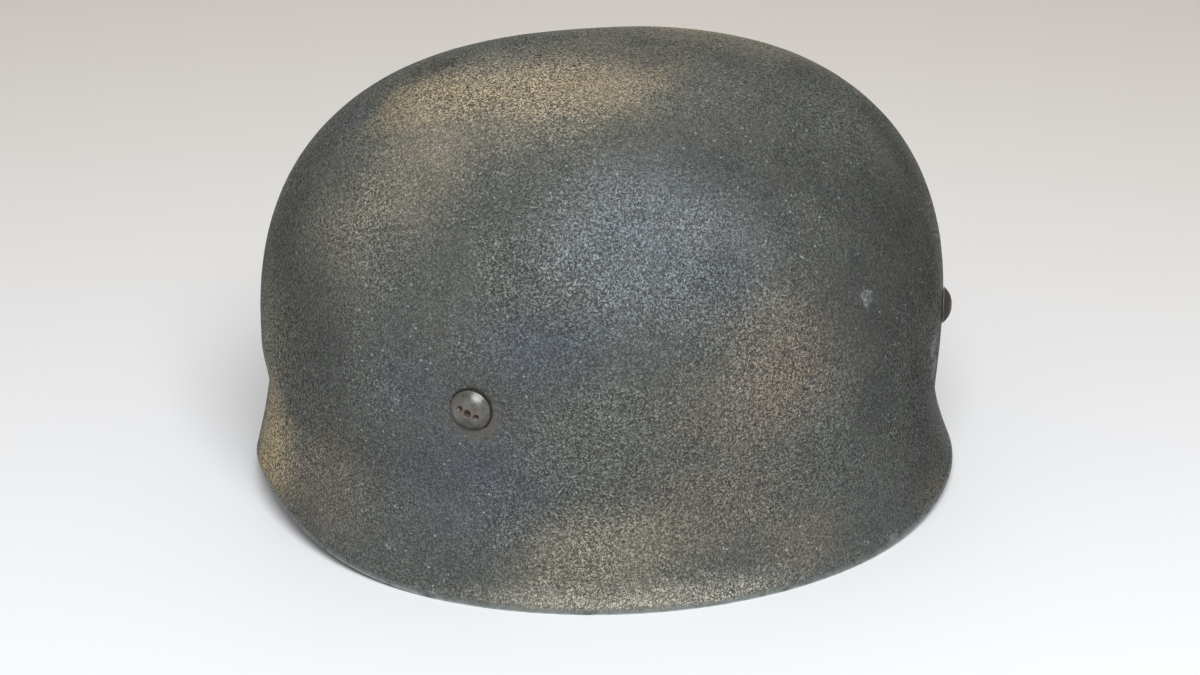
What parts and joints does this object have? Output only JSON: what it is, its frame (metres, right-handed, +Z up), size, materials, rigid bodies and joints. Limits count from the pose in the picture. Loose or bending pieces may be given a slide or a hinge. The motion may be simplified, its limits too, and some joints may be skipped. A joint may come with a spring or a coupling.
{
  "type": "paratrooper helmet",
  "caption": "Rimless steel paratrooper helmet in rough camouflage paint, with hollow domed bolts, a riveted leather liner and a forked leather chin harness.",
  "frame": {"origin": "middle of the helmet's box in plan, on the plane that the rim rests on", "axes": "+X to the front of the helmet, +Y to the wearer's left, +Z up"},
  "size_m": [0.2676, 0.2416, 0.1615],
  "materials": {
    "camouflage_paint": "matte",
    "worn_bolt_steel": "satin",
    "zinced_steel": "satin",
    "black_rubber": "matte",
    "aluminium": "satin",
    "rivet_metal": "satin",
    "sponge_rubber": "matte",
    "liner_leather": "satin",
    "brass": "satin",
    "strap_leather": "satin",
    "buckle_steel": "satin",
    "nickel": "satin"
  },
  "bodies": {
    "helmet": {"steel_shell": "camouflage_paint", "front_left_bolt": "worn_bolt_steel", "front_right_bolt": "worn_bolt_steel", "rear_left_bolt": "worn_bolt_steel", "rear_right_bolt": "worn_bolt_steel", "front_left_nut": "zinced_steel", "front_right_nut": "zinced_steel", "rear_left_nut": "zinced_steel", "rear_right_nut": "zinced_steel", "bolt_washers": "zinced_steel", "spacer_bushes": "black_rubber", "liner_band": "aluminium", "band_joint_plate": "aluminium", "band_joint_rivets": "rivet_metal", "front_pad": "black_rubber", "rear_pad": "black_rubber", "left_pad": "black_rubber", "right_pad": "black_rubber", "foam_headband": "sponge_rubber", "crown_pad": "sponge_rubber", "leather_liner": "liner_leather", "liner_rivets": "rivet_metal", "front_left_strap_end": "strap_leather", "front_right_strap_end": "strap_leather", "rear_left_strap_end": "strap_leather", "rear_right_strap_end": "strap_leather", "strap_eyelets": "brass"},
    "left_fork": {"left_front_strap": "strap_leather", "left_rear_strap": "strap_leather", "left_junction_patch": "strap_leather", "left_junction_loop": "buckle_steel", "left_junction_rivets": "brass"},
    "right_fork": {"right_front_strap": "strap_leather", "right_rear_strap": "strap_leather", "right_junction_patch": "strap_leather", "right_junction_loop": "buckle_steel", "right_junction_rivets": "brass"},
    "left_adjuster": {"left_adjuster": "buckle_steel"},
    "right_adjuster": {"right_adjuster": "buckle_steel"},
    "left_chin": {"left_chin_strap": "strap_leather", "left_chin_stud": "nickel"},
    "right_chin": {"right_chin_strap": "strap_leather"},
    "keeper": {"strap_keeper": "strap_leather"},
    "buckle": {"buckle_frame": "buckle_steel"},
    "prong": {"buckle_prong": "buckle_steel"}
  },
  "joints": [
    {"name": "left_fork_fold", "type": "hinge", "parent": "helmet", "child": "left_fork", "pos_m": [-0.00784, 0.0584, 0.044], "axis": [0.9947, 0.1024, 0], "range_deg": [0, 175]},
    {"name": "right_fork_fold", "type": "hinge", "parent": "helmet", "child": "right_fork", "pos_m": [-0.00784, -0.0584, 0.044], "axis": [-0.9947, 0.1024, 0], "range_deg": [0, 175]},
    {"name": "left_chin_fold", "type": "hinge", "parent": "left_fork", "child": "left_chin", "pos_m": [-0.00722, 0.05243, 0.115], "axis": [-0.9947, -0.1024, 0], "range_deg": [0, 175]},
    {"name": "right_chin_fold", "type": "hinge", "parent": "right_fork", "child": "right_chin", "pos_m": [-0.00722, -0.05243, 0.115], "axis": [0.9947, -0.1024, 0], "range_deg": [0, 175]},
    {"name": "left_adjuster_slide", "type": "slide", "parent": "left_fork", "child": "left_adjuster", "axis": [0.6955, 0.0716, 0.7149], "range_m": [-0.006, 0.012]},
    {"name": "right_adjuster_slide", "type": "slide", "parent": "right_fork", "child": "right_adjuster", "axis": [0.6955, -0.0716, 0.7149], "range_m": [-0.006, 0.012]},
    {"name": "keeper_slide", "type": "slide", "parent": "right_chin", "child": "keeper", "axis": [0, 0, 1], "range_m": [-0.02, 0.02]},
    {"name": "buckle_swing", "type": "hinge", "parent": "right_chin", "child": "buckle", "pos_m": [-0.00722, -0.05243, 0.043], "axis": [0.9947, -0.1024, 0], "range_deg": [-40, 60]},
    {"name": "prong_swing", "type": "hinge", "parent": "buckle", "child": "prong", "pos_m": [-0.00722, -0.05243, 0.043], "axis": [0.9947, -0.1024, 0], "range_deg": [0, 60]}
  ],
  "couplings": [
    {"joint": "left_chin_fold", "follows": "left_fork_fold", "ratio": 1},
    {"joint": "right_chin_fold", "follows": "right_fork_fold", "ratio": 1}
  ]
}
